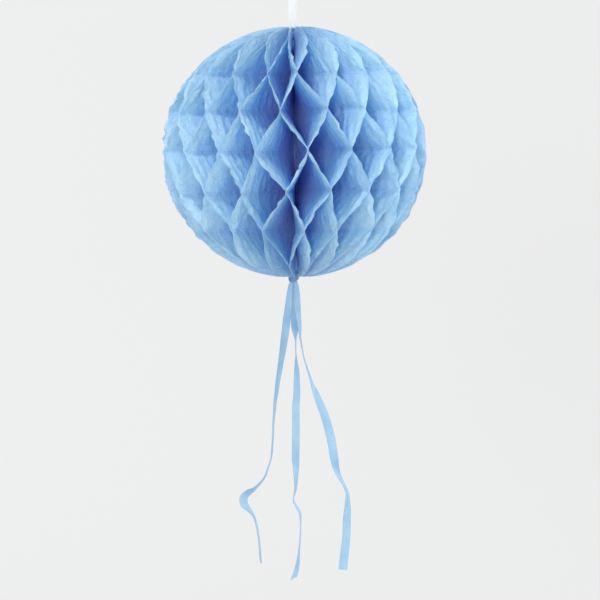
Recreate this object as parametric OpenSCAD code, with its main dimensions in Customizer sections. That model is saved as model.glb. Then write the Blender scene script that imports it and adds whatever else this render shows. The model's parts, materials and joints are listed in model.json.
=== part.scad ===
// Paper honeycomb ball that hangs from a ribbon, with three ribbons below it.
// The origin is the crown of the hanging loop, +Z is up and -Y is the front.

/* [Ball] */
// Widest diameter of the opened ball, across its equator
ball_d = 152; // [130:1:200]
// Height of the opened ball, from pole to pole
ball_h = 145; // [140:1:160]
// Tissue sheets in the fan, an even number so that the cells close at the seam
sheet_count = 36; // [24:2:36]
// Height from one row of glued strips to the next
glue_pitch = 22.2; // [18:0.1:26]
// Height of one glued strip
glue_h = 1.5; // [1:0.5:5]
// Turn of the seam from straight behind the ball
seam_turn = 4; // [-20:1:20]

/* [Paper] */
// Thickness of a tissue sheet
tissue_t = 0.1; // [0.06:0.01:0.12]
// Share of the soft S-shaped bend in a cell wall, against a straight one
wall_bend = 0.1; // [0:0.05:1]
// Thickness of a cover card
card_t = 0.3; // [0.2:0.05:0.3]
// Length of a tape pad between the covers
tape_l = 40; // [20:1:50]
// Width of a tape pad between the covers
tape_w = 8; // [4:1:12]

/* [Core] */
// Diameter of the bound core that the sheets turn around
binding_d = 4.4; // [4:0.1:4.6]
// Diameter of the thread through the core
thread_d = 1; // [0.8:0.1:1.2]

/* [Ribbons] */
// Width of the ribbons
ribbon_w = 5; // [4:0.1:5]
// Thickness of the ribbons
ribbon_t = 0.25; // [0.15:0.05:0.3]
// Height from the top of the ball to the crown of the hanging loop
hang_h = 60; // [50:0.5:80]
// Radius of the hanging loop's round crown
loop_r = 6; // [4:0.5:8]

/* [Hidden] */
$fn = 48;

tissue_blue = "#7fb4e0";
card_blue = "#8fb9dc";
ribbon_blue = "#b4d4ee";
ribbon_white = "#f4f4f2";
thread_blue = "#5f93cf";
tape_white = "#dfe3e6";

ball_a = ball_d / 2;
ball_b = ball_h / 2;
ball_z = -hang_h - ball_b;

// The fan: each sheet fills one step between two neighbouring planes through the axis
step = 360 / sheet_count;
seam = 180 + seam_turn;
glue_gap = 0.02;
land_off = glue_gap + tissue_t / 2;
seam_gap = 0.08;
cover_off = seam_gap + card_t + land_off;
level_count = floor((ball_b - glue_h) / glue_pitch);
wall_rows = 3;
cap_rows = 4;

// The hollow core: straight around the binding, then a dimple at each pole for the knots
core_r = binding_d / 2 + 0.3;
dimple_r = 6;
dimple_h = 12;
cap_z = ball_b * sqrt(1 - pow(dimple_r / ball_a, 2));
dimple_z = cap_z - dimple_h;

// The covers are cut a little smaller than the sheets
cover_in = 5;
cover_a = ball_a - 1;
cover_b = ball_b - 1;
tape_in = 40;
tape_z = 8;
tape_play = 0.02;

// The tie of the hanging ribbon and the thread's stop knot sit in the upper dimple
tie_r = 3;
tie_h = 4;
tie_top = ball_z + cap_z - 3.3;
tie_play = 0.3;
tie_back = 2.1;
stop_r = 1.5;

// The hanging ribbon's upper knot
knot_r = 3.5;
knot_h = 6;
knot_top = -25;
loop_leg = 0.6;

// The ribbon knot hangs a little to the left of the axis, half inside the lower dimple
tail_x = -1.5;
tail_z = ball_z - 72;
tail_r = 2.3;
tail_collar_r = 2.1;
tail_top = tail_z + 3.2;

// Ribbon routes from the ribbon knot's middle: across, depth, height, twist and width
left_route = [
    [-1.1, -0.5, -2.5, 0, 2],
    [-2.2, -0.7, -7.5, 5, 3],
    [-3.2, -0.8, -16, 15, 4],
    [-4.8, -1, -27.5, 30, 5],
    [-6, -1.2, -36, 34, 5],
    [-7.5, -1.5, -45.5, 47, 5],
    [-9.2, -1.8, -55, 55, 5],
    [-10.7, -2, -64.5, 62, 5],
    [-12.1, -2.3, -74, 70, 5],
    [-12.9, -2.5, -84, 77, 5],
    [-13.9, -2.5, -98, 80, 5],
    [-14.8, -2.5, -105.5, 80, 5],
    [-16.4, -2.5, -110.5, 78, 5],
    [-18.5, -2.5, -115.5, 76, 5],
    [-21.7, -2.5, -119.5, 74, 5],
    [-25, -2.7, -122.5, 66, 5],
    [-28.5, -3, -124.7, 42, 5],
    [-30.8, -3, -127.7, 18, 5],
    [-30.5, -3, -131.2, 30, 5],
    [-28.3, -3, -134, 60, 5],
    [-26, -2.7, -136.7, 76, 5],
    [-24.1, -2.5, -141.5, 80, 5],
    [-22.7, -2.2, -149, 80, 5],
    [-22, -2, -157, 80, 5],
    [-21.3, -2, -165.5, 78, 5]
];
middle_route = [
    [0, 1.3, -2.6, 0, 2],
    [0.2, 1.4, -8, 0, 3],
    [0.3, 1.5, -18, 5, 4.4],
    [0.3, 1.5, -27, 20, 5],
    [0.4, 1.5, -32, 50, 5],
    [0.5, 1.5, -36.5, 80, 5],
    [0.6, 1.5, -43, 88, 5],
    [0.7, 1.5, -49, 74, 5],
    [0.8, 1.7, -55, 55, 5],
    [0.9, 1.8, -62, 44, 5],
    [0.5, 2, -71, 36, 5],
    [0.1, 2, -79, 32, 5],
    [-0.2, 2, -98, 28, 5],
    [-0.4, 2, -106, 32, 5],
    [-0.4, 2.1, -115.5, 58, 5],
    [-0.9, 2.2, -123.5, 74, 5],
    [-2, 2.4, -129.5, 82, 5],
    [-0.4, 2.6, -133.5, 80, 5],
    [1.4, 2.8, -137, 76, 5],
    [1.9, 3, -142.5, 82, 5],
    [1.5, 3, -152, 82, 5],
    [0.5, 2.8, -162, 75, 5],
    [-0.8, 2.5, -170, 58, 5],
    [-2.5, 2.2, -175.5, 55, 5]
];
right_route = [
    [1.1, -0.5, -2.5, 0, 2],
    [1.7, -0.7, -7.5, 0, 3],
    [2, -0.7, -17, 35, 4.2],
    [2.8, -0.6, -27, 62, 5],
    [3.2, -0.5, -35, 78, 5],
    [4.1, -0.3, -40.5, 84, 5],
    [4.9, -0.1, -45.5, 85, 5],
    [6, 0, -50, 84, 5],
    [7.5, 0, -55, 80, 5],
    [9.7, 0, -62, 70, 5],
    [11.3, 0, -67, 52, 5],
    [15.3, 0, -76.5, 28, 5],
    [19, 0, -88.5, 8, 5],
    [20.8, 0, -97, 5, 5],
    [21.9, 0, -105, 18, 5],
    [22.8, 0, -110.5, 40, 5],
    [24.6, 0, -116, 62, 5],
    [27.2, 0, -121, 72, 5],
    [29.3, 0, -126, 66, 5],
    [29.3, 0, -131.5, 50, 5],
    [28.8, 0, -141.5, 25, 5],
    [28.3, 0, -152, 20, 5],
    [27.1, 0, -162, 5, 5],
    [26.1, 0, -170.5, 0, 5]
];

function sheet_name(k) = str("sheet_", k < 10 ? "0" : "", k);
function unit(v) = v / norm(v);
function mix(a, b, u) = a + (b - a) * u;
function smooth(u) = u * u * (3 - 2 * u);

// Radius of the ball and of its hollow core at a height above the ball's middle
function rim_r(z) = ball_a * sqrt(1 - pow(z / ball_b, 2));
function inner_r(z) = mix(core_r, dimple_r, max(0, abs(z) - dimple_z) / dimple_h);

// Heights of a sheet's rows: two on each glued strip, some on each wall, more towards the poles
function wall_z(i, u) = i * glue_pitch + glue_h / 2 + u * (glue_pitch - glue_h);
last_z = wall_z(level_count, 0);
upper_cap = [for (j = [1 : cap_rows]) mix(last_z, cap_z, sin(90 * j / cap_rows))];
sheet_rows = concat(
    [for (j = [cap_rows - 1 : -1 : 0]) -upper_cap[j]],
    [for (i = [-level_count : level_count - 1]) each [
        i * glue_pitch - glue_h / 2,
        for (j = [0 : wall_rows]) wall_z(i, j / (wall_rows + 1))
    ]],
    [last_z - glue_h, last_z],
    upper_cap
);

// Place of sheet k across its step at a height: 0 at its lower plane, 1 at its upper plane.
// Even planes are glued at even levels, and odd planes at odd levels.
function glued_side(k, i) = (k - 1 + abs(i)) % 2;
function wall_share(z, i) = max(0, min(1, (z - wall_z(i, 0)) / (glue_pitch - glue_h)));
function bent(u) = mix(u, smooth(u), wall_bend);
function side_at(k, z, i) = mix(glued_side(k, i), glued_side(k, i + 1), bent(wall_share(z, i)));
function side(k, z) = side_at(k, z, floor((z + glue_h / 2) / glue_pitch));

// A point at radius r on the plane at an angle from the front, moved off that plane
function fan_point(r, angle, off, z) = [
    r * sin(angle) + off * cos(angle),
    off * sin(angle) - r * cos(angle),
    ball_z + z
];
function sheet_section(k, z) =
    let (
        s = side(k, z),
        angle = seam + step * (k - 1 + s),
        low_off = k == 1 ? cover_off : land_off,
        high_off = k == sheet_count ? cover_off : land_off,
        off = mix(low_off, -high_off, s)
    ) [
        fan_point(inner_r(z), angle, off - tissue_t / 2, z),
        fan_point(rim_r(z), angle, off - tissue_t / 2, z),
        fan_point(rim_r(z), angle, off + tissue_t / 2, z),
        fan_point(inner_r(z), angle, off + tissue_t / 2, z)
    ];

// Four corners of a ribbon at point i of its route
function route_at(route, i) = [for (j = [0 : 2]) route[i][j]];
function route_way(route, i) =
    unit(route_at(route, min(i + 1, len(route) - 1)) - route_at(route, max(i - 1, 0)));
function ribbon_section(route, i) =
    let (
        way = route_way(route, i),
        flat = unit([1, 0, 0] - way[0] * way),
        across = cos(route[i][3]) * flat + sin(route[i][3]) * cross(flat, way),
        half_w = across * route[i][4] / 2,
        half_t = cross(way, across) * ribbon_t / 2,
        middle = route_at(route, i)
    ) [middle - half_w - half_t, middle + half_w - half_t, middle + half_w + half_t, middle - half_w + half_t];

// A thin closed strip through four-cornered sections, with both faces split along the same diagonal
module strip(sections) {
    count = len(sections);
    last = 4 * (count - 1);
    walls = [for (i = [0 : count - 2]) let (a = 4 * i, b = a + 4) each [
        [a, b, b + 1], [a, b + 1, a + 1],
        [a + 1, b + 1, b + 2], [a + 1, b + 2, a + 2],
        [a + 2, b + 2, a + 3], [b + 2, b + 3, a + 3],
        [a + 3, b + 3, b], [a + 3, b, a]
    ]];
    ends = [[0, 1, 2], [0, 2, 3], [last, last + 2, last + 1], [last, last + 3, last + 2]];
    polyhedron(points = [for (s = sections) each s], faces = concat(walls, ends));
}

module ribbon(route) {
    strip([for (i = [0 : len(route) - 1]) ribbon_section(route, i)]);
}

// A round knot of two wraps with flat ends and, if asked, a hole through it
module wrapped_knot(r, h, hole_r = 0) {
    wrap = h / 4;
    rotate_extrude() difference() {
        union() {
            translate([0, -h / 2]) square([r - wrap, h]);
            for (s = [-1, 1]) translate([r - wrap, s * wrap]) circle(wrap);
        }
        translate([hole_r - 2 * r, -h]) square([2 * r, 2 * h]);
    }
}

module tissue_sheet(k) {
    color(tissue_blue) strip([for (z = sheet_rows) sheet_section(k, z)]);
}

// Outline of a cover: half an ellipse with its inner edge set back from the core
module cover_outline() {
    edge = acos(cover_in / cover_a);
    polygon([for (i = [-20 : 20]) let (a = edge * i / 20) [cover_a * cos(a), cover_b * sin(a)]]);
}

// Stands a drawing of radius and height on the seam plane, from one distance off it to another
module on_seam(from, to) {
    translate([0, 0, ball_z]) rotate([0, 0, seam - 90]) rotate([90, 0, 0])
        translate([0, 0, -to]) linear_extrude(to - from) children();
}

module cover_first() {
    color(card_blue) on_seam(seam_gap, seam_gap + card_t) cover_outline();
}

module cover_last() {
    color(card_blue) on_seam(-seam_gap - card_t, -seam_gap) cover_outline();
}

module tape(z) {
    color(tape_white) on_seam(tape_play - seam_gap, seam_gap)
        translate([tape_in, z]) square([tape_w, tape_l]);
}

module tape_upper() {
    tape(tape_z);
}

module tape_lower() {
    tape(-tape_z - tape_l);
}

module spine_binding() {
    color(tissue_blue) translate([0, 0, ball_z]) difference() {
        cylinder(h = 2 * dimple_z, d = binding_d, center = true);
        cylinder(h = 3 * dimple_z, d = thread_d, center = true);
    }
}

module spine_thread() {
    color(thread_blue) translate([0, 0, tail_top])
        cylinder(h = tie_top + tie_play - tail_top, d = thread_d);
}

module thread_knot() {
    color(thread_blue) translate([0, 0, tie_top + tie_play + stop_r * 0.8])
        wrapped_knot(stop_r, stop_r * 1.6);
}

module hanger_tie() {
    color(thread_blue) translate([0, 0, tie_top - tie_h / 2])
        wrapped_knot(tie_r, tie_h, thread_d / 2 + tie_play);
}

module hanger_ribbon() {
    knot_bottom = knot_top - knot_h;
    color(ribbon_white) ribbon([for (i = [0 : 8]) let (u = i / 8) [
        0,
        tie_back * (1 - smooth(u)),
        mix(tie_top, knot_bottom, u),
        0,
        ribbon_w * min(1, 0.64 + 1.5 * u, 0.9 + 1.5 * (1 - u))
    ]]);
}

module hanger_knot() {
    color(ribbon_white) translate([0, 0, knot_top - knot_h / 2]) wrapped_knot(knot_r, knot_h);
}

module hanger_loop() {
    middle_r = loop_r - ribbon_t / 2;
    crown = [for (a = [-15 : 15 : 195]) [0, middle_r * cos(a), middle_r * sin(a) - loop_r, 0, ribbon_w]];
    foot = [for (s = [1, -1]) [0, s * loop_leg, knot_top, 0, ribbon_w]];
    color(ribbon_white) ribbon(concat([foot[0]], crown, [foot[1]]));
}

// Round below, so that the ribbons turn around it, with one more wrap above
module ribbon_knot() {
    color(ribbon_blue) translate([tail_x, 0, tail_z]) rotate_extrude() intersection() {
        union() {
            circle(tail_r);
            translate([0, tail_r / 2]) square([tail_collar_r - 0.5, tail_top - tail_z - tail_r / 2]);
            translate([tail_collar_r - 0.8, tail_top - tail_z - 0.8]) circle(0.8);
        }
        translate([0, -tail_r]) square([2 * tail_r, 3 * tail_r]);
    }
}

module tail_ribbon(route) {
    color(ribbon_blue) translate([tail_x, 0, tail_z]) ribbon(route);
}

for (k = [1 : sheet_count]) tissue_sheet(k);
cover_first();
cover_last();
tape_upper();
tape_lower();
spine_binding();
spine_thread();
thread_knot();
hanger_tie();
hanger_ribbon();
hanger_knot();
hanger_loop();
ribbon_knot();
tail_ribbon(left_route);  // ribbon_left
tail_ribbon(middle_route);  // ribbon_middle
tail_ribbon(right_route);  // ribbon_right
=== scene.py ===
"""Looks of the hanging paper honeycomb ball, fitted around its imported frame.

Lengths are metres, +Z is up and -Y is the front.
"""

import json
import math
from collections import namedtuple

import bpy
import numpy as np
from mathutils import Matrix, Vector


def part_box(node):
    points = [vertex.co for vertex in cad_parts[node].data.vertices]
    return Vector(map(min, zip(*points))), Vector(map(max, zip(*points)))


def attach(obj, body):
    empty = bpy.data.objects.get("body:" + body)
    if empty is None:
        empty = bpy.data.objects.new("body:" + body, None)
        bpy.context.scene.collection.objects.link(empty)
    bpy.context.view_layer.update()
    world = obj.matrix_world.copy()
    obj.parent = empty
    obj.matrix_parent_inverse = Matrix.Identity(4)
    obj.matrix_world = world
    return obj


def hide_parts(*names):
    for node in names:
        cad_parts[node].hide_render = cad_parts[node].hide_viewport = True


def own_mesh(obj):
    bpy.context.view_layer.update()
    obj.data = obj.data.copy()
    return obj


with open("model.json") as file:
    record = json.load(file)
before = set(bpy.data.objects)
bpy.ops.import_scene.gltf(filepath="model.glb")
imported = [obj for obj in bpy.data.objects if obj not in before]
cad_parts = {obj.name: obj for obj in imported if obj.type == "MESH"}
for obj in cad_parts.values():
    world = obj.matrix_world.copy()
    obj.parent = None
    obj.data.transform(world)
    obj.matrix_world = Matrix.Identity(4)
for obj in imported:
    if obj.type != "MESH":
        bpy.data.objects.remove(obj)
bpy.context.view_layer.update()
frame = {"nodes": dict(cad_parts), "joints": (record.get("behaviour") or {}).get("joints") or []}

# Places that the frame gives
joints = {joint["name"]: joint for joint in frame["joints"]}
BALL = Vector(joints["fan_fold"]["pos_m"])
TAIL = Vector(joints["left_ribbon_swing"]["pos_m"])
SHEETS = sorted(name for name in frame["nodes"] if name.startswith("sheet_"))

# The ball and its fan of tissue sheets
BALL_RADIUS = 0.076
BALL_HALF_HEIGHT = 0.0725
STEP = 2 * math.pi / len(SHEETS)
SEAM = math.radians(184)
TISSUE = 0.0001

# Glued strips: spacing, height, and how far a sheet lies off their plane between sheets and at a cover
LEVELS = range(-3, 4)
GLUE_PITCH = 0.0222
GLUE_HEIGHT = 0.0015
STRIP_OFF = 0.00007
COVER_OFF = 0.00045

# Points of a sheet: rows up each wall and cap, and columns from the core out, closer in the rim's band
WALL_ROWS = 12
CAP_ROWS = 4
COLUMNS = 70
RIM_COLUMNS = 10
RIM_BAND = 0.1

# The hollow core with its dimple at each pole
CORE_RADIUS = 0.0025
DIMPLE_RADIUS = 0.006
DIMPLE_HEIGHT = 0.012
POLE_GAP = 0.0004
CAP_HEIGHT = BALL_HALF_HEIGHT * math.sqrt(1 - (DIMPLE_RADIUS / BALL_RADIUS) ** 2)
CAP_TOP = CAP_HEIGHT - POLE_GAP

# How much of its full height each wave of an irregular line has
WAVE_HEIGHTS = (0.5, 1)

# How unevenly the strips lie, and the waves along them as count, shortest and longest length
TURN_SPREAD = math.radians(1.2)
LIFT_SPREAD = 0.0012
PUCKER = 0.0002
PUCKER_WAVES = (3, 0.006, 0.016)

# How the walls between the strips bend, bow, crease and crumple
WALL_BEND = 0.1
WALL_FULLNESS = 0.7
BOW = 0.001
BOW_AT_ENDS = 0.4
CREASES = 11
CREASE = 0.0006
CREASE_HEIGHTS = (0.4, 1.3)
CREASE_PLACES = (0.3, 1)
CREASE_WIDTHS = (0.0016, 0.0045)
CREASE_LEAN = 0.009
CRUMPLES = 5
CRUMPLE = 0.00028
CRUMPLE_LENGTHS = (0.0045, 0.012)
CRUMPLE_RISES = (1, 5)
CRUMPLE_SHARPNESS = 0.93

# How the cut rims waver and curl, with waves as count, shortest and longest length
RIM_WAVER = 0.0013 / 3
RIM_WAVES = (5, 0.0045, 0.016)
RIM_CURL = 0.0011
CURL_WAVER = RIM_CURL / 4
CURL_WAVES = (4, 0.0045, 0.011)

# How far the paper drifts around the ball between core and rim, from pole to pole in waves
SWAY = math.radians(5.5)
SWAY_LENGTH = 0.09
SWAY_MIDDLE = -0.004
SWAY_DEPTH = 0.5

# Seeds of the random values. Levels are lifted, because a seed is never negative
WALL_SEED = 3
PUCKER_SEED = 5
STRIP_SEED = 11
RIM_SEED = 13
CURL_LINE_SEED = 17
CURL_SEED = 19
FLUTTER_SEED = 23
SEED_LIFT = 9

# Turn in degrees and lift of the front cells' glued strips, by plane and level
FRONT_SHIFTS = {
    (14, 2): (1.7, -0.0003),
    (16, 2): (2, -0.0003),
    (18, 2): (-2, 0.0004),
    (13, 1): (2.3, 0.0011),
    (15, 1): (0.8, 0.0011),
    (17, 1): (-0.2, 0.001),
    (19, 1): (1.4, 0.002),
    (21, 1): (-0.2, 0.0018),
    (12, 0): (1.5, 0.0004),
    (14, 0): (1.9, 0.0004),
    (16, 0): (-0.9, 0),
    (18, 0): (1.5, 0.0012),
    (20, 0): (1.3, 0.0014),
    (22, 0): (1.6, 0.0014),
    (17, -1): (1.9, 0),
    (19, -1): (2.4, 0.0004),
    (21, -1): (1.6, 0.0004),
    (16, -2): (-2.3, 0),
}

# Tissue colours, and where they set in below the rim, as shares of the ball's radius
DYE = (0.66, 0.89, 0.985, 1)
DYE_PALE = (0.74, 0.925, 0.99, 1)
# Painted shade: a deeper blue that sets in below the rim, standing in for the shade inside the cells
INNER_PAINTED_SHADE = (0.5, 0.79, 0.97, 1)
INNER_SHADE_BAND = (0.08, 0.2)
# Painted shade: a violet tint towards the core, standing in for the colour of the deep cells in shade
CORE_PAINTED_SHADE = (0.76, 0.82, 0.995, 1)
CORE_SHADE_BAND = (0.25, 0.7)
# Partly a rubbed cut edge and partly painted highlight: a violet band along the rim, where the rims catch
# the light
RIM_RUB_AND_HIGHLIGHT = (0.72, 0.81, 0.98, 1)
RIM_RUB_AND_HIGHLIGHT_BAND = (0.003, 0.009)
MOTTLE = (0.84, 0.92, 0.995, 1)
UNTINTED = (1, 1, 1, 1)

# What makes the tissue's streaks differ from sheet to sheet: how much x counts beside y
STREAK_SKEW = 0.83

# Other colours, each with its shade
RIBBON_BLUE = (0.56, 0.77, 0.9, 1)
RIBBON_BLUE_SHADE = (0.38, 0.61, 0.81, 1)
# Painted shade: the tail knot's ribbon is a darker copy of the ribbon blue, for the shade under the ball and
# among its layers
KNOT_BLUE_PAINTED_SHADE = (0.3, 0.5, 0.8, 1)
KNOT_BLUE_PAINTED_DEEP_SHADE = (0.16, 0.34, 0.66, 1)
RIBBON_WHITE = (0.96, 0.955, 0.94, 1)
RIBBON_WHITE_SHADE = (0.92, 0.92, 0.9, 1)
THREAD_BLUE = (0.24, 0.4, 0.74, 1)
THREAD_BLUE_SHADE = (0.14, 0.26, 0.6, 1)
CARD_BLUE = (0.4, 0.64, 0.84, 1)
CARD_BLUE_SHADE = (0.34, 0.58, 0.8, 1)
TAPE_GREY = (0.82, 0.84, 0.84, 1)
TAPE_GREY_SHADE = (0.74, 0.78, 0.8, 1)
BINDING_BLUE = (0.2, 0.32, 0.7, 1)
BINDING_BLUE_SHADE = (0.14, 0.24, 0.62, 1)

# Share of light that passes through, gloss, and how much the gloss varies with the grain
TISSUE_THROUGH = 0.44
RIBBON_THROUGH = 0.3
THREAD_THROUGH = 0.1
PAPER_GLOSS = 0.2
SOLID_GLOSS = 0.3
GRAIN_GLOSS = 0.08

# Edges sharper than this show as edges, on sheets and on round pieces
SHARP = math.radians(60)
ROUND_SHARP = math.radians(75)

# Ribbons: size, spacing of points, hollow across, thin selvedge, flutter and slant of the cut ends
RIBBON_WIDTH = 0.005
RIBBON_THICKNESS = 0.00022
RIBBON_STEP = 0.0011
RIBBON_COLUMNS = 11
RIBBON_CUP = 0.00025
CUP_LEVEL = 0.35
SELVEDGE = (0.0021, 0.0024)
SELVEDGE_START = 0.9
SELVEDGE_THICKNESS = 0.7
FLUTTER_WAVES = (3, 0.012, 0.03)
RIBBON_CUTS = {"left": 0.3, "middle": -0.6, "right": 0.0}

# Ribbon routes from the ribbon knot's middle, as across, depth, height, twist in degrees and width
LEFT_ROUTE = [
    (-0.0011, -0.0005, -0.0025, 0, 0.002),
    (-0.0022, -0.0007, -0.0075, 5, 0.003),
    (-0.0032, -0.0008, -0.016, 15, 0.004),
    (-0.0048, -0.001, -0.0275, 30, 0.005),
    (-0.006, -0.0012, -0.036, 34, 0.005),
    (-0.0075, -0.0015, -0.0455, 47, 0.005),
    (-0.0092, -0.0018, -0.055, 55, 0.005),
    (-0.0107, -0.002, -0.0645, 62, 0.005),
    (-0.0121, -0.0023, -0.074, 70, 0.005),
    (-0.0129, -0.0025, -0.084, 77, 0.005),
    (-0.0139, -0.0025, -0.098, 80, 0.005),
    (-0.0148, -0.0025, -0.1055, 80, 0.005),
    (-0.0164, -0.0025, -0.1105, 78, 0.005),
    (-0.0185, -0.0025, -0.1155, 76, 0.005),
    (-0.0217, -0.0025, -0.1195, 74, 0.005),
    (-0.025, -0.0027, -0.1225, 66, 0.005),
    (-0.0285, -0.003, -0.1247, 42, 0.005),
    (-0.0308, -0.003, -0.1277, 18, 0.005),
    (-0.0305, -0.003, -0.1312, 30, 0.005),
    (-0.0283, -0.003, -0.134, 60, 0.005),
    (-0.026, -0.0027, -0.1367, 76, 0.005),
    (-0.0241, -0.0025, -0.1415, 80, 0.005),
    (-0.0227, -0.0022, -0.149, 80, 0.005),
    (-0.022, -0.002, -0.157, 80, 0.005),
    (-0.0213, -0.002, -0.1655, 78, 0.005),
]
MIDDLE_ROUTE = [
    (0, 0.0013, -0.0026, 0, 0.002),
    (0.0002, 0.0014, -0.008, 0, 0.003),
    (0.0003, 0.0015, -0.018, 5, 0.0044),
    (0.0003, 0.0015, -0.027, 20, 0.005),
    (0.0004, 0.0015, -0.032, 50, 0.005),
    (0.0005, 0.0015, -0.0365, 80, 0.005),
    (0.0006, 0.0015, -0.043, 88, 0.005),
    (0.0007, 0.0015, -0.049, 74, 0.005),
    (0.0008, 0.0017, -0.055, 55, 0.005),
    (0.0009, 0.0018, -0.062, 44, 0.005),
    (0.0005, 0.002, -0.071, 36, 0.005),
    (0.0001, 0.002, -0.079, 32, 0.005),
    (-0.0002, 0.002, -0.098, 28, 0.005),
    (-0.0004, 0.002, -0.106, 32, 0.005),
    (-0.0004, 0.0021, -0.1155, 58, 0.005),
    (-0.0009, 0.0022, -0.1235, 74, 0.005),
    (-0.002, 0.0024, -0.1295, 82, 0.005),
    (-0.0004, 0.0026, -0.1335, 80, 0.005),
    (0.0014, 0.0028, -0.137, 76, 0.005),
    (0.0019, 0.003, -0.1425, 82, 0.005),
    (0.0015, 0.003, -0.152, 82, 0.005),
    (0.0005, 0.0028, -0.162, 75, 0.005),
    (-0.0008, 0.0025, -0.17, 58, 0.005),
    (-0.0025, 0.0022, -0.1755, 55, 0.005),
]
RIGHT_ROUTE = [
    (0.0011, -0.0005, -0.0025, 0, 0.002),
    (0.0017, -0.0007, -0.0075, 0, 0.003),
    (0.002, -0.0007, -0.017, 35, 0.0042),
    (0.0028, -0.0006, -0.027, 62, 0.005),
    (0.0032, -0.0005, -0.035, 78, 0.005),
    (0.0041, -0.0003, -0.0405, 84, 0.005),
    (0.0049, -0.0001, -0.0455, 85, 0.005),
    (0.006, 0, -0.05, 84, 0.005),
    (0.0075, 0, -0.055, 80, 0.005),
    (0.0097, 0, -0.062, 70, 0.005),
    (0.0113, 0, -0.067, 52, 0.005),
    (0.0153, 0, -0.0765, 28, 0.005),
    (0.019, 0, -0.0885, 8, 0.005),
    (0.0208, 0, -0.097, 5, 0.005),
    (0.0219, 0, -0.105, 18, 0.005),
    (0.0228, 0, -0.1105, 40, 0.005),
    (0.0246, 0, -0.116, 62, 0.005),
    (0.0272, 0, -0.121, 72, 0.005),
    (0.0293, 0, -0.126, 66, 0.005),
    (0.0293, 0, -0.1315, 50, 0.005),
    (0.0288, 0, -0.1415, 25, 0.005),
    (0.0283, 0, -0.152, 20, 0.005),
    (0.0271, 0, -0.162, 5, 0.005),
    (0.0261, 0, -0.1705, 0, 0.005),
]

# The hanging ribbon, gathered at its tie and knot, and its loop with the turn of its crown in degrees
TIE_BACK = 0.0021
HANGER_POINTS = 9
TIE_GATHER = 0.64
KNOT_GATHER = 0.9
GATHER_SPREAD = 1.5
LOOP_RADIUS = 0.006
LOOP_LEG = 0.0006
LOOP_CUP = 0.00008
LOOP_TURN = range(-15, 200, 15)

# Knots: how full they are, and the pleats inside them
KNOT_FULLNESS = 2.6
KNOT_SIDES = 54
KNOT_RINGS = 27
KNOT_TOP = 87
KNOT_CORE = 0.97
KNOT_PLEATS = 9
KNOT_PLEAT = 0.12
PLEAT_SLANT = 1.5
PLEAT_WIDTH = 0.0006
TAIL_KNOT = (0.0027, 0.0031)

# Turns of ribbon on the knots, as tilt and heading in degrees, width and lift
TAIL_KNOT_BANDS = [(14, 40, 0.0026, 0.0001), (48, 205, 0.0022, 0.0003)]
HANGER_KNOT_BANDS = [(10, 15, 0.003, 0.0001), (42, 250, 0.0026, 0.0003)]
BAND_RINGS = 72
BAND_COLUMNS = 13
BAND_WAVER = 0.12
BAND_CROWN = 0.00022
BAND_SUNK = 0.0003
BAND_CREASE = 0.00009
BAND_CREASES = 5
BAND_DRIFT = 1.5
BAND_REACH = 0.0023

# Thread of two twisted strands, and a direction that it never follows
THREAD_RADIUS = 0.0005
THREAD_LAY = 0.0036
THREAD_WAIST = 0.76
THREAD_SIDES = 12
THREAD_ASIDE = (0.3, 0.9, 0.28)
SPINE_RINGS = 360
STOP_KNOT_RINGS = 120
TIE_TURNS = 5
TIE_RINGS = 40

# Camera: level with the ball's middle and leaning a little, and its picture's width and middle there
CAMERA_DISTANCE = 2.0
CAMERA_LEAN = math.radians(0.8)
PICTURE_WIDTH = 0.3468
PICTURE_RIGHT = 0.00318
PICTURE_DOWN = 0.0855
SENSOR = 36

# Backdrop: a floor that sweeps up, through turns in degrees, into a round wall a shade paler
FLOOR_DROP = 0.85
FLOOR_RINGS = (0.002, 1.0, 2.0)
FLOOR_RADIUS = 2.9
FLOOR_SIDES = 96
SWEEP_RADIUS = 0.7
SWEEP_TURN = range(0, 91, 6)
WALL_TOP = 3.0
FLOOR_COLOUR = (0.82, 0.825, 0.825, 1)
WALL_COLOUR = (0.94, 0.945, 0.945, 1)
SHADE_HEIGHT = 0.1

# Light: from all around, lamps as name, place from the ball's middle, size and power, and bounces enough
# to reach into the deep cells
SKY_COLOUR = (1, 1, 1, 1)
SKY_STRENGTH = 0.81
LAMPS = [
    ("key", (-0.25, -1.95, 0.15), 0.3, 9),
    ("top", (-0.35, -1.2, 1.6), 0.2, 14),
    ("bounce", (0.3, -1.2, -1.3), 0.8, 4),
    ("rim", (1.6, 0.8, 0.3), 0.8, 13),
]
LIGHT_BOUNCES = 32

# A glued strip of a sheet, and the rows of a sheet's points
Strip = namedtuple("Strip", "plane angle off height")
Rows = namedtuple("Rows", "z low high share bent")


def mix(a, b, share):
    return a + (b - a) * share


def smooth(share):
    return share * share * (3 - 2 * share)


def unit(vectors):
    return vectors / np.linalg.norm(vectors, axis=-1, keepdims=True)


# Material nodes
def add(tree, kind, inputs=None, **settings):
    """Adds a node, sets its properties, and sets or links its inputs."""
    node = tree.nodes.new(kind)
    for name, value in settings.items():
        setattr(node, name, value)
    for key, value in (inputs or {}).items():
        if isinstance(value, bpy.types.NodeSocket):
            tree.links.new(value, node.inputs[key])
        else:
            node.inputs[key].default_value = value
    return node


def new_material(name):
    material = bpy.data.materials.new(name)
    material.use_nodes = True
    material.node_tree.nodes.clear()
    return material, material.node_tree


def noise(tree, place, scale, detail=3.0, roughness=0.5, distortion=0.0):
    inputs = {
        "Vector": place,
        "Scale": scale,
        "Detail": detail,
        "Roughness": roughness,
        "Distortion": distortion,
    }
    return add(tree, "ShaderNodeTexNoise", inputs).outputs["Fac"]


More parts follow.
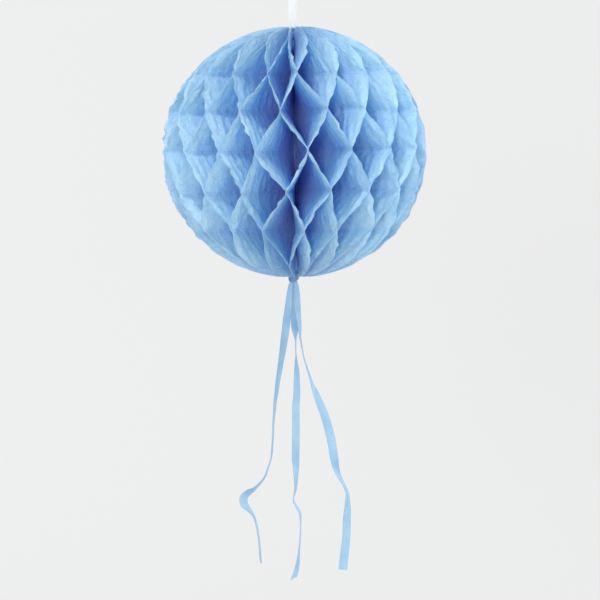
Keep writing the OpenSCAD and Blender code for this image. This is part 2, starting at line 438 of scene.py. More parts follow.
def stretched_noise(tree, place, scales, detail, roughness, distortion=0.0):
    """Noise with a scale of its own along each axis."""
    stretched = add(tree, "ShaderNodeMapping", {"Vector": place, "Scale": scales}).outputs["Vector"]
    return noise(tree, stretched, 1.0, detail, roughness, distortion)


def remap(tree, value, span, to=(0.0, 1.0)):
    inputs = {"Value": value, "From Min": span[0], "From Max": span[1], "To Min": to[0], "To Max": to[1]}
    return add(tree, "ShaderNodeMapRange", inputs).outputs["Result"]


def math_node(tree, operation, first, second=0.0, third=0.0):
    return add(tree, "ShaderNodeMath", {0: first, 1: second, 2: third}, operation=operation).outputs[0]


def blend(tree, share, first, second, kind="MIX"):
    inputs = {0: share, 6: first, 7: second}
    return add(tree, "ShaderNodeMix", inputs, data_type="RGBA", blend_type=kind).outputs[2]


def multiplied(tree, first, second):
    return blend(tree, 1.0, first, second, "MULTIPLY")


def bump(tree, height, distance, strength, normal=None):
    inputs = {"Height": height, "Distance": distance, "Strength": strength}
    if normal is not None:
        inputs["Normal"] = normal
    return add(tree, "ShaderNodeBump", inputs).outputs["Normal"]


def paper_surface(tree, colour, roughness, normal, through):
    """Paper or cloth that lets part of the light through."""
    inputs = {
        "Base Color": colour,
        "Roughness": roughness,
        "Normal": normal,
        "Specular IOR Level": PAPER_GLOSS,
    }
    face = add(tree, "ShaderNodeBsdfPrincipled", inputs)
    glow = add(tree, "ShaderNodeBsdfTranslucent", {"Color": colour, "Normal": normal})
    both = add(tree, "ShaderNodeMixShader", {0: through, 1: face.outputs[0], 2: glow.outputs[0]})
    add(tree, "ShaderNodeOutputMaterial", {"Surface": both.outputs[0]})


def tissue_material():
    """Dyed tissue: cloudy dye, fine fibres, a violet band at the rim that is partly a rubbed cut edge and
    partly painted highlight, and painted shade further in: a deeper blue, then a violet tint towards the
    core.
    """
    material, tree = new_material("tissue")
    coords = add(tree, "ShaderNodeTexCoord")
    place = coords.outputs["Object"]
    uv = add(tree, "ShaderNodeSeparateXYZ", {0: coords.outputs["UV"]})
    depth = uv.outputs["X"]
    spot = add(tree, "ShaderNodeSeparateXYZ", {0: place})
    which = math_node(tree, "MULTIPLY_ADD", spot.outputs["X"], STREAK_SKEW, spot.outputs["Y"])
    ways = add(tree, "ShaderNodeCombineXYZ", {"X": depth, "Y": uv.outputs["Y"], "Z": which}).outputs[0]

    cloud = noise(tree, place, scale=55, detail=4.0, roughness=0.6)
    fibre = stretched_noise(tree, place, scales=(900, 900, 380), detail=5.0, roughness=0.7, distortion=0.4)
    crease = noise(tree, place, scale=330, detail=3.0, roughness=0.55, distortion=1.2)
    streak = stretched_noise(tree, ways, scales=(26, 4, 100), detail=3.0, roughness=0.55, distortion=0.3)
    rim_patches = noise(tree, place, scale=170, detail=3.0, roughness=0.6)
    spots = noise(tree, place, scale=240, detail=4.0, roughness=0.65, distortion=0.5)

    dye = blend(tree, remap(tree, cloud, span=(0.3, 0.7)), DYE, DYE_PALE)
    # Painted shade further in: a deeper blue, then a violet tint towards the core
    inner = blend(tree, remap(tree, depth, INNER_SHADE_BAND, to=(0.0, 0.5)), dye, INNER_PAINTED_SHADE)
    deep = blend(tree, remap(tree, depth, CORE_SHADE_BAND, to=(0.0, 0.8)), inner, CORE_PAINTED_SHADE)
    # A patchy violet band at the rim: partly a rubbed cut edge, partly painted highlight
    rub_and_highlight = remap(tree, rim_patches, span=(0.35, 0.65), to=(0.1, 0.6))
    edge = math_node(tree, "MULTIPLY", remap(tree, depth, RIM_RUB_AND_HIGHLIGHT_BAND, to=(1.0, 0.0)), rub_and_highlight)
    rim = blend(tree, edge, deep, RIM_RUB_AND_HIGHLIGHT)
    flecked = multiplied(tree, rim, remap(tree, fibre, span=(0.25, 0.75), to=(0.975, 1.0)))
    mottle = blend(tree, remap(tree, spots, span=(0.3, 0.7)), MOTTLE, UNTINTED)
    colour = multiplied(tree, flecked, mottle)

    fine = bump(tree, fibre, distance=0.00002, strength=0.5)
    streaked = bump(tree, streak, distance=0.0008, strength=0.6, normal=fine)
    creased = bump(tree, crease, distance=0.0012, strength=0.85, normal=streaked)
    roughness = remap(tree, fibre, span=(0.2, 0.8), to=(0.78, 0.92))
    paper_surface(tree, colour, roughness, creased, TISSUE_THROUGH)
    return material


def ribbon_material(name, colour, shade):
    """Narrow satin ribbon: fine cross ribs, closely woven edges and a soft sheen."""
    material, tree = new_material(name)
    coords = add(tree, "ShaderNodeTexCoord")
    uv = coords.outputs["UV"]
    across = math_node(tree, "ABSOLUTE", add(tree, "ShaderNodeSeparateXYZ", {0: uv}).outputs["X"])
    weave = {"Vector": uv, "Scale": 800.0, "Distortion": 0.6, "Detail": 2.0}
    ribs = add(tree, "ShaderNodeTexWave", weave, bands_direction="Y").outputs["Fac"]
    cloud = noise(tree, coords.outputs["Object"], scale=75, detail=3.0, roughness=0.5)
    yarn = stretched_noise(tree, uv, scales=(5200, 500, 1), detail=3.0, roughness=0.6)

    base = blend(tree, remap(tree, cloud, span=(0.3, 0.7)), colour, shade)
    ribbed = blend(tree, remap(tree, ribs, span=(0.0, 1.0), to=(0.35, 0.0)), base, shade)
    edged = blend(tree, remap(tree, across, SELVEDGE, to=(0.0, 0.6)), ribbed, shade)
    tinted = multiplied(tree, edged, remap(tree, yarn, span=(0.25, 0.75), to=(0.95, 1.03)))

    ridges = bump(tree, ribs, distance=0.00003, strength=0.4)
    woven = bump(tree, yarn, distance=0.00002, strength=0.35, normal=ridges)
    roughness = remap(tree, ribs, span=(0.0, 1.0), to=(0.5, 0.38))
    paper_surface(tree, tinted, roughness, woven, RIBBON_THROUGH)
    return material


def thread_material():
    """Dull cotton thread: twisted fibres in two close blues."""
    material, tree = new_material("thread")
    coords = add(tree, "ShaderNodeTexCoord")
    fibres = stretched_noise(tree, coords.outputs["UV"], scales=(9000, 1500, 1), detail=4.0, roughness=0.65)
    fuzz = noise(tree, coords.outputs["Object"], scale=2600, detail=3.0, roughness=0.6)
    base = blend(tree, remap(tree, fibres, span=(0.3, 0.7)), THREAD_BLUE_SHADE, THREAD_BLUE)
    colour = multiplied(tree, base, remap(tree, fuzz, span=(0.3, 0.7), to=(0.88, 1.05)))
    normal = bump(tree, fibres, distance=0.00006, strength=0.6)
    roughness = remap(tree, fuzz, span=(0.2, 0.8), to=(0.75, 0.9))
    paper_surface(tree, colour, roughness, normal, THREAD_THROUGH)
    return material


def solid_material(name, colour, shade, cloud_scale, grain_scales, roughness, grain_depth):
    """A matt material of two near colours with a grain that also stands out a little."""
    material, tree = new_material(name)
    place = add(tree, "ShaderNodeTexCoord").outputs["Object"]
    cloud = noise(tree, place, cloud_scale, detail=4.0, roughness=0.6)
    grain = stretched_noise(tree, place, grain_scales, detail=5.0, roughness=0.65)
    base = blend(tree, remap(tree, cloud, span=(0.3, 0.7)), colour, shade)
    gloss = (roughness - GRAIN_GLOSS, roughness + GRAIN_GLOSS)
    inputs = {
        "Base Color": multiplied(tree, base, remap(tree, grain, span=(0.25, 0.75), to=(0.9, 1.05))),
        "Roughness": remap(tree, grain, span=(0.2, 0.8), to=gloss),
        "Normal": bump(tree, grain, grain_depth, strength=0.6),
        "Specular IOR Level": SOLID_GLOSS,
    }
    face = add(tree, "ShaderNodeBsdfPrincipled", inputs)
    add(tree, "ShaderNodeOutputMaterial", {"Surface": face.outputs[0]})
    return material


# Mesh helpers
def make_object(name, points, faces, material, uv=None, sharp=SHARP, creased=None):
    """A smooth mesh object, with sharp edges past an angle and between creased points."""
    mesh = bpy.data.meshes.new(name)
    mesh.from_pydata(points.tolist(), [], [list(map(int, face)) for face in faces])
    mesh.materials.append(material)
    mesh.shade_smooth()
    mesh.set_sharp_from_angle(angle=sharp)
    if creased is not None:
        ends = np.zeros(2 * len(mesh.edges), np.int32)
        mesh.edges.foreach_get("vertices", ends)
        hard = np.zeros(len(mesh.edges), bool)
        mesh.attributes["sharp_edge"].data.foreach_get("value", hard)
        hard |= creased[ends].reshape(-1, 2).all(1)
        mesh.attributes["sharp_edge"].data.foreach_set("value", hard)
    if uv is not None:
        corners = np.zeros(len(mesh.loops), np.int32)
        mesh.loops.foreach_get("vertex_index", corners)
        mesh.uv_layers.new(name="place").uv.foreach_set("vector", uv[corners].astype(np.float32).ravel())
    thing = bpy.data.objects.new(name, mesh)
    bpy.context.scene.collection.objects.link(thing)
    return thing


def stand_in(piece, node, body):
    """Puts a piece on a body, in place of its node, which it hides."""
    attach(piece, body)
    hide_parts(node)


def quads(*corners):
    return np.stack([np.ravel(corner) for corner in corners], 1)


def shell(name, front, back, uv, material, folds=None):
    """A closed thin sheet between two grids of points, with sharp folds along the marked rows."""
    rows, columns = front.shape[:2]
    a = np.arange(rows * columns).reshape(rows, columns)
    b = a + rows * columns
    faces = np.concatenate([
        quads(a[:-1, :-1], a[1:, :-1], a[1:, 1:], a[:-1, 1:]),
        quads(b[:-1, :-1], b[:-1, 1:], b[1:, 1:], b[1:, :-1]),
        quads(a[:-1, -1], a[1:, -1], b[1:, -1], b[:-1, -1]),
        quads(a[1:, 0], a[:-1, 0], b[:-1, 0], b[1:, 0]),
        quads(a[0, :-1], a[0, 1:], b[0, 1:], b[0, :-1]),
        quads(a[-1, 1:], a[-1, :-1], b[-1, :-1], b[-1, 1:]),
    ])
    points = np.concatenate([front.reshape(-1, 3), back.reshape(-1, 3)])
    creased = None if folds is None else np.tile(np.repeat(folds, columns), 2)
    return make_object(name, points, faces, material, np.tile(uv.reshape(-1, 2), (2, 1)), creased=creased)


def tube_faces(rings, closed):
    """Faces of a tube of rings, with capped ends unless it closes on itself."""
    count, sides = rings.shape[:2]
    index = np.arange(count * sides).reshape(count, sides)
    if closed:
        index = np.concatenate([index, index[:1]])
    turned = np.roll(index, -1, axis=1)
    faces = quads(index[:-1], turned[:-1], turned[1:], index[1:]).tolist()
    if not closed:
        faces += [index[0][::-1].tolist(), index[-1].tolist()]
    return faces


def tube(rings, places, closed):
    """Points, faces and places of a tube."""
    return rings.reshape(-1, 3), tube_faces(rings, closed), places.reshape(-1, 2)


def joined(parts):
    """Several closed meshes, each of points, faces and places, as one."""
    points, faces, places = [], [], []
    count = 0
    for part_points, part_faces, part_places in parts:
        points.append(part_points)
        places.append(part_places)
        faces += [[int(corner) + count for corner in face] for face in part_faces]
        count += len(part_points)
    return np.concatenate(points), faces, np.concatenate(places)


def grid_of(*values):
    """Values that run along rows or columns, side by side at every point of their grid."""
    return np.stack(np.broadcast_arrays(*values), -1)


def full_turn(count):
    return np.linspace(0, 2 * math.pi, count, endpoint=False)


def length_along(points):
    """Length of a line of points from its start to each of them."""
    return np.concatenate([[0], np.cumsum(np.linalg.norm(np.diff(points, axis=0), axis=1))])


def waves(seed, count, shortest, longest, height):
    """A gently irregular line: a sum of sines with seeded lengths and phases."""
    rng = np.random.default_rng(seed)
    lengths = rng.uniform(shortest, longest, count)
    phases = rng.uniform(0, 2 * math.pi, count)
    heights = rng.uniform(*WAVE_HEIGHTS, count) * height
    return lambda x: sum(h * np.sin(2 * math.pi * x / l + p) for h, l, p in zip(heights, lengths, phases))


# Tissue sheets
def rim_radius(z):
    return BALL_RADIUS * np.sqrt(1 - (z / BALL_HALF_HEIGHT) ** 2)


def core_radius(z):
    start = CAP_HEIGHT - DIMPLE_HEIGHT
    return mix(CORE_RADIUS, DIMPLE_RADIUS, np.clip((np.abs(z) - start) / DIMPLE_HEIGHT, 0, 1))


def strip_shifts():
    """Turn and lift of every glued strip, by plane and level. The seam's strips lie flat on the covers."""
    rng = np.random.default_rng(STRIP_SEED)
    shape = (len(SHEETS) + 1, len(LEVELS))
    turn = np.clip(rng.normal(0, TURN_SPREAD, shape), -2 * TURN_SPREAD, 2 * TURN_SPREAD)
    lift = rng.uniform(-LIFT_SPREAD, LIFT_SPREAD, shape)
    for (plane, level), (degrees, height) in FRONT_SHIFTS.items():
        turn[plane, level - LEVELS[0]] = math.radians(degrees)
        lift[plane, level - LEVELS[0]] = height
    turn[[0, -1]] = 0
    return turn, lift


STRIP_TURN, STRIP_LIFT = strip_shifts()


def at_seam(plane):
    return plane in (0, len(SHEETS))


def strip_of(k, level):
    """The strip that holds sheet k at a level: its plane, angle, offset of the sheet and height."""
    side = (k - 1 + abs(level)) % 2
    plane = k - 1 + side
    off = COVER_OFF if at_seam(plane) else STRIP_OFF
    n = level - LEVELS[0]
    angle = SEAM + STEP * plane + STRIP_TURN[plane, n]
    return Strip(plane, angle, off if side == 0 else -off, level * GLUE_PITCH + STRIP_LIFT[plane, n])


def pucker(plane, level):
    """Waviness along a glued strip, which both sheets share."""
    if at_seam(plane):
        return lambda r: 0 * r
    line = waves([PUCKER_SEED, plane, level + SEED_LIFT], *PUCKER_WAVES, PUCKER)
    return lambda r: line(r) * r / BALL_RADIUS


def sheet_rows(k):
    """Strips of sheet k, and its rows from pole to pole: height, strips around them and share between."""
    strips = [strip_of(k, level) for level in LEVELS]
    last = len(strips) - 1
    half = GLUE_HEIGHT / 2
    cap_shares = [math.sin(math.pi / 2 * i / CAP_ROWS) for i in range(1, CAP_ROWS + 1)]
    wall_shares = [(1 - math.cos(math.pi * i / WALL_ROWS)) / 2 for i in range(1, WALL_ROWS)]
    rows = [(mix(strips[0].height - half, -CAP_TOP, share), 0, 0, 0.0) for share in reversed(cap_shares)]
    for n, strip in enumerate(strips):
        rows += [(strip.height + edge, n, n, 0.0) for edge in (-half, half)]
        if n < last:
            foot = strip.height + half
            head = strips[n + 1].height - half
            rows += [(mix(foot, head, share), n, n + 1, share) for share in wall_shares]
    rows += [(mix(strips[-1].height + half, CAP_TOP, share), last, last, 0.0) for share in cap_shares]
    z, low, high, share = (np.array(values) for values in zip(*rows))
    share = share[:, None]
    return strips, Rows(z[:, None], low, high, share, mix(share, smooth(share), WALL_BEND))


def between(values, rows):
    """Values of the strips, carried over to the rows on and between them."""
    values = np.array(values)[:, None]
    return mix(values[rows.low], values[rows.high], rows.bent)


def wall_waves(k, n, r, share):
    """Bow, creases and crumples of one cell wall, which vanish at its glued strips."""
    rng = np.random.default_rng([WALL_SEED, k, n])
    total = rng.uniform(-BOW, BOW) * mix(BOW_AT_ENDS, 1, np.sin(math.pi * r / BALL_RADIUS))
    for _ in range(CREASES):
        lean = rng.uniform(-CREASE_LEAN, CREASE_LEAN) * (share - 0.5)
        off = np.abs(r - rng.uniform(*CREASE_PLACES) * BALL_RADIUS - lean)
        height = CREASE * rng.uniform(*CREASE_HEIGHTS) * rng.choice((-1, 1))
        total = total + height * np.exp(-off / rng.uniform(*CREASE_WIDTHS))
    for _ in range(CRUMPLES):
        length = rng.uniform(*CRUMPLE_LENGTHS)
        rise = rng.uniform(*CRUMPLE_RISES) * rng.choice((-1, 1)) * math.pi
        fold = np.sin(2 * math.pi * r / length + rise * share + rng.uniform(0, 2 * math.pi))
        total = total + CRUMPLE * np.arcsin(CRUMPLE_SHARPNESS * fold)
    return total * np.sin(math.pi * share) ** WALL_FULLNESS * r / BALL_RADIUS


def sway(angle, across, z):
    """Drift of the paper around the ball, the same for all sheets, and none at the seam, core and rim."""
    front = np.sin((angle - SEAM) / 2) ** 2
    way = np.cos(2 * math.pi * (z - SWAY_MIDDLE) / SWAY_LENGTH)
    return SWAY * front * way * np.sin(math.pi * across**SWAY_DEPTH)


def ripples(k, strips, rows, r, across):
    """How far sheet k stands out: puckers at its strips, wavy walls and a curling rim between them."""
    puckers = [pucker(strip.plane, level) for strip, level in zip(strips, LEVELS)]
    curl_line = waves([CURL_LINE_SEED, k], *CURL_WAVES, CURL_WAVER)
    curls = np.random.default_rng([CURL_SEED, k]).uniform(-RIM_CURL, RIM_CURL, len(strips))
    curl = smooth(np.clip((across - 1 + RIM_BAND) / RIM_BAND, 0, 1))
    made = np.zeros_like(r)
    for row, (n, m) in enumerate(zip(rows.low, rows.high)):
        made[row] = mix(puckers[n](r[row]), puckers[m](r[row]), rows.bent[row])
        if n != m:
            share = rows.share[row]
            made[row] += wall_waves(k, n, r[row], share)
            made[row] += curl * (curls[n] + curl_line(rows.z[row])) * np.sin(math.pi * share)
    return made


def sheet_grids(k):
    """Points on both sides of sheet k, their places on the paper, and which rows are folds."""
    strips, rows = sheet_rows(k)
    z = rows.z
    inner = np.linspace(0, 1 - RIM_BAND, COLUMNS)[:-1]
    across = np.concatenate([inner, np.linspace(1 - RIM_BAND, 1, RIM_COLUMNS)])
    waver = waves([RIM_SEED, k], *RIM_WAVES, RIM_WAVER)
    rim = rim_radius(z) + waver(z) * np.cos(z / BALL_HALF_HEIGHT)
    r = mix(core_radius(z), rim, across)
    angle = between([strip.angle for strip in strips], rows)
    angle = angle + sway(angle, across, z)
    middle = between([strip.off for strip in strips], rows) + ripples(k, strips, rows, r, across)
    sides = []
    for half in (TISSUE / 2, -TISSUE / 2):
        off = middle + half
        x = r * np.sin(angle) + off * np.cos(angle)
        y = off * np.sin(angle) - r * np.cos(angle)
        sides.append(grid_of(x, y, z) + np.array(BALL))
    uv = grid_of((rim - r) / BALL_RADIUS, z / BALL_RADIUS)
    folds = (rows.low == rows.high) & (np.abs(z[:, 0]) <= strips[-1].height + GLUE_HEIGHT)
    return sides, uv, folds


def tissue_sheet(k, node, material):
    """One tissue sheet of the fan, glued to its neighbours at every other level."""
    (front, back), uv, folds = sheet_grids(k)
    sheet = shell("tissue_" + node[-2:], front, back, uv, material, folds)
    stand_in(sheet, node, node)
    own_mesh(sheet)


# Ribbons
def curve_through(points, step):
    """Points about a step apart on a smooth curve through the given ones."""
    points = np.array(points, float)
    ends = np.concatenate([[2 * points[0] - points[1]], points, [2 * points[-1] - points[-2]]])
    made = []
    for p0, p1, p2, p3 in zip(ends, ends[1:], ends[2:], ends[3:]):
        count = max(2, round(np.linalg.norm((p2 - p1)[:3]) / step))
        t = np.arange(count)[:, None] / count
        linear = (p2 - p0) * t
        square = (2 * p0 - 5 * p1 + 4 * p2 - p3) * t**2
        cube = (3 * p1 - p0 - 3 * p2 + p3) * t**3
        made.append(p1 + (linear + square + cube) / 2)
    return np.concatenate([*made, points[-1:]])


def ribbon(name, route, origin, material, cup=RIBBON_CUP, cut=0.0):
    """A flat ribbon along a route, a little hollow across, with its centre line and length."""
    line = curve_through(route, RIBBON_STEP)
    middle = line[:, :3] + np.array(origin)
    way = unit(np.gradient(middle, axis=0))
    flat = unit(np.array([1.0, 0, 0]) - way[:, :1] * way)
    twist = np.radians(line[:, 3:4])
    across = np.cos(twist) * flat + np.sin(twist) * np.cross(flat, way)
    out = np.cross(way, across)
    v = np.linspace(-1, 1, RIBBON_COLUMNS)
    half = line[:, 4] / 2
    length = length_along(middle)
    flutter = waves([FLUTTER_SEED, len(route)], *FLUTTER_WAVES, cup / 2)(length)
    hollow = (cup + flutter)[:, None] * (v**2 - CUP_LEVEL) * (half / (RIBBON_WIDTH / 2))[:, None]
    spread = half[:, None] * v
    slide = np.zeros_like(spread)
    slide[-1] = cut * spread[-1]
    body = middle[:, None] + spread[..., None] * across[:, None] + slide[..., None] * way[:, None]
    thick = RIBBON_THICKNESS / 2 * np.where(np.abs(v) > SELVEDGE_START, SELVEDGE_THICKNESS, 1.0)
    front = body + (hollow + thick)[..., None] * out[:, None]
    back = body + (hollow - thick)[..., None] * out[:, None]
    uv = grid_of(spread, length[:, None])
    return shell(name, back, front, uv, material), middle, float(length[-1])


def tail_ribbon(side, route, material):
    """One of the loose ribbons below the ball."""
    piece, middle, length = ribbon("tail_ribbon_" + side, route, TAIL, material, cut=RIBBON_CUTS[side])
    stand_in(piece, "ribbon_" + side, side + "_tail")


def hanging_ribbon(material):
    """The white ribbon from its tie in the ball up to its knot."""
    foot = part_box("hanger_tie")[1].z
    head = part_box("hanger_knot")[0].z
    route = []
    for u in np.linspace(0, 1, HANGER_POINTS):
        width = RIBBON_WIDTH * min(1, TIE_GATHER + GATHER_SPREAD * u, KNOT_GATHER + GATHER_SPREAD * (1 - u))
        route.append((0, TIE_BACK * (1 - smooth(u)), mix(foot, head, u), 0, width))
    piece, middle, length = ribbon("hanging_ribbon", route, (0, 0, 0), material)
    stand_in(piece, "hanger_ribbon", "hanger")


def hanging_loop(material):
    """The loop above the hanging ribbon's knot."""
    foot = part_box("hanger_knot")[1].z
    crown = LOOP_RADIUS - RIBBON_THICKNESS / 2
    route = [(0, LOOP_LEG, foot, 0, RIBBON_WIDTH)]
    for turn in map(math.radians, LOOP_TURN):
        route.append((0, crown * math.cos(turn), crown * math.sin(turn) - LOOP_RADIUS, 0, RIBBON_WIDTH))
    route.append((0, -LOOP_LEG, foot, 0, RIBBON_WIDTH))
    piece = ribbon("hanging_loop", route, (0, 0, 0), material, cup=LOOP_CUP)[0]
    stand_in(piece, "hanger_loop", "hanger")
    return piece


# Knots and thread
def knot_reach(ways, radius, half):
    """How far a plump knot reaches along unit vectors."""
    wide = (np.hypot(ways[..., 0], ways[..., 1]) / radius) ** KNOT_FULLNESS
    tall = (np.abs(ways[..., 2]) / half) ** KNOT_FULLNESS
    return (wide + tall) ** (-1 / KNOT_FULLNESS)


def knot_core(radius, half):
    """The gathered pleats inside a knot."""
    turn = full_turn(KNOT_SIDES)[None, :]
    rise = np.radians(np.linspace(-KNOT_TOP, KNOT_TOP, KNOT_RINGS))[:, None]
    level = np.cos(rise)
    ways = grid_of(level * np.cos(turn), level * np.sin(turn), np.sin(rise))
    pleats = 1 - KNOT_PLEAT * np.abs(np.sin(KNOT_PLEATS / 2 * turn + PLEAT_SLANT * rise)) * level
    rings = ways * (KNOT_CORE * knot_reach(ways, radius, half) * pleats)[..., None]
    places = grid_of((turn - math.pi) * PLEAT_WIDTH, rise * half)
    return tube(rings, places, closed=False)


def knot_band(radius, half, tilt, heading, width, lift):
    """One turn of ribbon around a knot, creased lengthwise and rounded at its edges."""
    tilt = math.radians(tilt)
    heading = math.radians(heading)
    pole = np.array([math.sin(tilt) * math.cos(heading), math.sin(tilt) * math.sin(heading), math.cos(tilt)])
    east = unit(np.cross([-math.sin(heading), math.cos(heading), 0], pole))
    north = np.cross(pole, east)
    turn = full_turn(BAND_RINGS)[:, None]
    side = np.linspace(-1, 1, BAND_COLUMNS)
    side = np.concatenate([side, side[::-1]])[None, :]
    outer = np.repeat([1.0, 0.0], BAND_COLUMNS)[None, :]
    lean = side * width / 2 / radius * (1 + BAND_WAVER * np.sin(2 * turn + heading))
    flat = np.cos(turn)[..., None] * east + np.sin(turn)[..., None] * north
    ways = np.cos(lean)[..., None] * flat + np.sin(lean)[..., None] * pole
    crease = BAND_CREASE * np.cos(BAND_CREASES * side + BAND_DRIFT * np.sin(turn + heading))
    height = outer * (lift + BAND_CROWN * (1 - side**4) + crease) - (1 - outer) * BAND_SUNK
    rings = ways * (knot_reach(ways, radius, half) + height)[..., None]
    places = grid_of(side * BAND_REACH, turn * radius)
    return tube(rings, places, closed=True)


def wound_knot(name, node, body, material, centre, size, bands):
    """A knot of ribbon: gathered pleats under its turns."""
    parts = [knot_core(*size), *(knot_band(*size, *band) for band in bands)]
    points, faces, places = joined(parts)
    piece = make_object(name, points + np.array(centre), faces, material, places, ROUND_SHARP)
    stand_in(piece, node, body)
    return piece


def thread_tube(path, closed=False):
    """Two strands twisted together along a path."""
    path = np.array(path)
    if closed:
        way = unit(np.roll(path, -1, axis=0) - np.roll(path, 1, axis=0))
    else:
        way = unit(np.gradient(path, axis=0))
    first = unit(np.cross(way, np.array(THREAD_ASIDE)))
    second = np.cross(way, first)
    length = length_along(path)[:, None]
    around = full_turn(THREAD_SIDES)[None, :]
    strands = np.abs(np.cos(around - 2 * math.pi * length / THREAD_LAY))
    reach = THREAD_RADIUS * mix(THREAD_WAIST, 1, strands)
    ring = np.cos(around)[..., None] * first[:, None] + np.sin(around)[..., None] * second[:, None]
    rings = path[:, None] + reach[..., None] * ring
    return tube(rings, grid_of(around * THREAD_RADIUS, length), closed)


def thread_piece(name, node, body, material, parts):
    points, faces, places = joined(parts)
    piece = make_object(name, points, faces, material, places, ROUND_SHARP)
    stand_in(piece, node, body)


def spine_line(material):
    """The thread that runs up the spine of the ball."""
    low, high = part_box("spine_thread")
    path = [(0, 0, z) for z in np.linspace(low.z, high.z, SPINE_RINGS)]
    thread_piece("spine_line", "spine_thread", "core", material, [thread_tube(path)])


def stop_knot(material):
    """The overhand knot that keeps the thread from slipping through the tie."""
    low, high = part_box("thread_knot")
    middle = (low + high) / 2
    wide = ((high.x - low.x) / 2 - THREAD_RADIUS) / 3
    tall = (high.z - low.z) / 2 - THREAD_RADIUS
    path = []
    for t in full_turn(STOP_KNOT_RINGS):
        across = wide * (math.sin(t) + 2 * math.sin(2 * t))
        deep = wide * (math.cos(t) - 2 * math.cos(2 * t))
        path.append((middle.x + across, middle.y + deep, middle.z - tall * math.sin(3 * t)))
    thread_piece("stop_knot", "thread_knot", "core", material, [thread_tube(path, closed=True)])


def ribbon_tie(material):
    """Turns of thread that bind the folded end of the hanging ribbon."""
    low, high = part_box("hanger_tie")
    middle = (low + high) / 2
    radius = (high.x - low.x) / 2 - THREAD_RADIUS
    path = []
    for u in np.linspace(0, 1, TIE_RINGS * TIE_TURNS):
        turn = 2 * math.pi * TIE_TURNS * u
        height = mix(low.z + THREAD_RADIUS, high.z - THREAD_RADIUS, u)
        path.append((middle.x + radius * math.cos(turn), middle.y + radius * math.sin(turn), height))
    points, faces, places = knot_core(radius, (high.z - low.z) / 2)
    parts = [thread_tube(path), (points + np.array(middle), faces, places)]
    thread_piece("ribbon_tie", "hanger_tie", "hanger", material, parts)


# Stage, light and camera
def backdrop():
    """A pale floor that sweeps up into a round wall. Only the camera sees it, so it takes no light away."""
    material, tree = new_material("backdrop")
    floor = BALL.z - FLOOR_DROP
    place = add(tree, "ShaderNodeTexCoord").outputs["Object"]
    height = add(tree, "ShaderNodeSeparateXYZ", {0: place}).outputs["Z"]
    share = remap(tree, height, span=(floor, floor + SHADE_HEIGHT))
    face = add(tree, "ShaderNodeBsdfDiffuse", {"Color": blend(tree, share, FLOOR_COLOUR, WALL_COLOUR)})
    add(tree, "ShaderNodeOutputMaterial", {"Surface": face.outputs[0]})
    profile = [(r, floor) for r in FLOOR_RINGS]
    for turn in map(math.radians, SWEEP_TURN):
        out = FLOOR_RADIUS + SWEEP_RADIUS * math.sin(turn)
        profile.append((out, floor + SWEEP_RADIUS * (1 - math.cos(turn))))
    profile.append((FLOOR_RADIUS + SWEEP_RADIUS, WALL_TOP))
    turns = full_turn(FLOOR_SIDES)
    rings = np.array([[(r * math.cos(a), r * math.sin(a), z) for a in turns] for r, z in profile])
    open_above = tube_faces(rings, closed=False)[:-1]
    stage = make_object("backdrop", rings.reshape(-1, 3), open_above, material)
    for ray in ("diffuse", "glossy", "transmission", "shadow"):
        setattr(stage, "visible_" + ray, False)


def light_world():
    """Soft even light from all around."""
    world = bpy.data.worlds.new("studio")
    world.use_nodes = True
    tree = world.node_tree
    tree.nodes.clear()
    sky = add(tree, "ShaderNodeBackground", {"Color": SKY_COLOUR, "Strength": SKY_STRENGTH})
    add(tree, "ShaderNodeOutputWorld", {"Surface": sky.outputs[0]})
    bpy.context.scene.world = world


def area_light(name, place, size, power):
    """A round lamp that faces the ball's middle."""
    lamp = bpy.data.lights.new(name, "AREA")
    lamp.shape = "DISK"
    lamp.size = size
    lamp.energy = power
    thing = bpy.data.objects.new(name, lamp)
    thing.location = BALL + Vector(place)
    thing.rotation_euler = (-Vector(place)).to_track_quat("-Z", "Y").to_euler()
    bpy.context.scene.collection.objects.link(thing)


def camera():
    """The camera, level with the ball's middle and aimed at the middle of its picture below."""
    right = Vector((math.cos(CAMERA_LEAN), 0, -math.sin(CAMERA_LEAN)))
    up = Vector((math.sin(CAMERA_LEAN), 0, math.cos(CAMERA_LEAN)))
    place = BALL + Vector((0, -CAMERA_DISTANCE, 0))
    ahead = BALL + right * PICTURE_RIGHT - up * PICTURE_DOWN - place
    data = bpy.data.cameras.new("camera")
    data.sensor_width = SENSOR
    data.lens = SENSOR * ahead.length / PICTURE_WIDTH
    ahead.normalize()
    right = (right - ahead * right.dot(ahead)).normalized()
    thing = bpy.data.objects.new("camera", data)
    turn = Matrix((right, right.cross(ahead), -ahead)).transposed()
    thing.matrix_world = Matrix.Translation(place) @ turn.to_4x4()
    bpy.context.scene.collection.objects.link(thing)
    bpy.context.scene.camera = thing


# Materials
tissue = tissue_material()
blue = ribbon_material("blue_ribbon", RIBBON_BLUE, RIBBON_BLUE_SHADE)
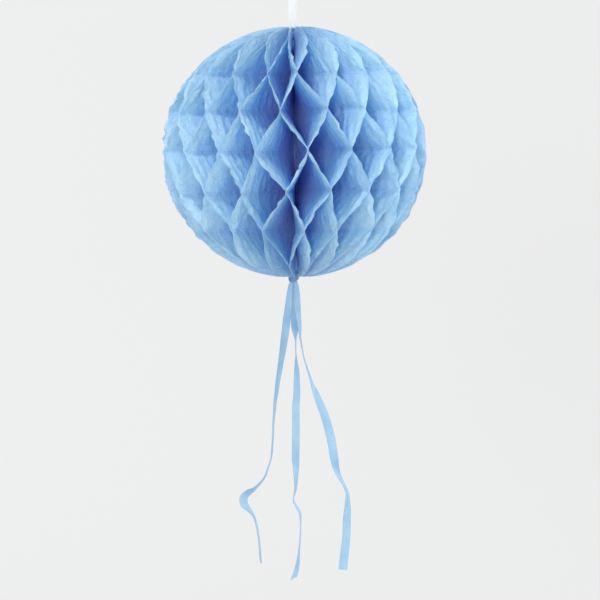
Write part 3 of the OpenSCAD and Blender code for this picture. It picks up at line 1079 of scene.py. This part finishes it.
# Painted shade: a darker copy of the ribbon material for the tail knot
knot_painted_shade = ribbon_material("blue_knot_painted_shade", KNOT_BLUE_PAINTED_SHADE, KNOT_BLUE_PAINTED_DEEP_SHADE)
white = ribbon_material("white_ribbon", RIBBON_WHITE, RIBBON_WHITE_SHADE)
thread = thread_material()
card = solid_material(
    "card",
    CARD_BLUE,
    CARD_BLUE_SHADE,
    cloud_scale=60,
    grain_scales=(2400, 2400, 1500),
    roughness=0.75,
    grain_depth=0.00004,
)
tape = solid_material(
    "tape",
    TAPE_GREY,
    TAPE_GREY_SHADE,
    cloud_scale=220,
    grain_scales=(700, 700, 2600),
    roughness=0.45,
    grain_depth=0.00002,
)
binding = solid_material(
    "binding",
    BINDING_BLUE,
    BINDING_BLUE_SHADE,
    cloud_scale=400,
    grain_scales=(2600, 2600, 160),
    roughness=0.7,
    grain_depth=0.00012,
)

# The object
camera()
tail_ribbon("left", LEFT_ROUTE, blue)
tail_ribbon("middle", MIDDLE_ROUTE, blue)
tail_ribbon("right", RIGHT_ROUTE, blue)
loop = hanging_loop(white)
knot_low, knot_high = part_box("hanger_knot")
knot_size = ((knot_high.x - knot_low.x) / 2, (knot_high.z - knot_low.z) / 2)
knot_middle = (knot_low + knot_high) / 2
knot = wound_knot(
    "hanging_knot", "hanger_knot", "hanger", white, knot_middle, knot_size, HANGER_KNOT_BANDS
)
hanging_ribbon(white)
wound_knot("tail_knot", "ribbon_knot", "core", knot_painted_shade, TAIL, TAIL_KNOT, TAIL_KNOT_BANDS)
spine_line(thread)
stop_knot(thread)
ribbon_tie(thread)

# Pieces that keep their solids
finishes = {
    "cover_first": card,
    "cover_last": card,
    "tape_upper": tape,
    "tape_lower": tape,
    "spine_binding": binding,
}
for name, material in finishes.items():
    frame["nodes"][name].material_slots[0].material = material

for number, node in enumerate(SHEETS, 1):
    tissue_sheet(number, node, tissue)

# Its surroundings
backdrop()
light_world()
for lamp in LAMPS:
    area_light(*lamp)
for kind in ("max", "diffuse", "transmission"):
    setattr(bpy.context.scene.cycles, kind + "_bounces", LIGHT_BOUNCES)
bpy.context.scene.view_settings.view_transform = "Standard"
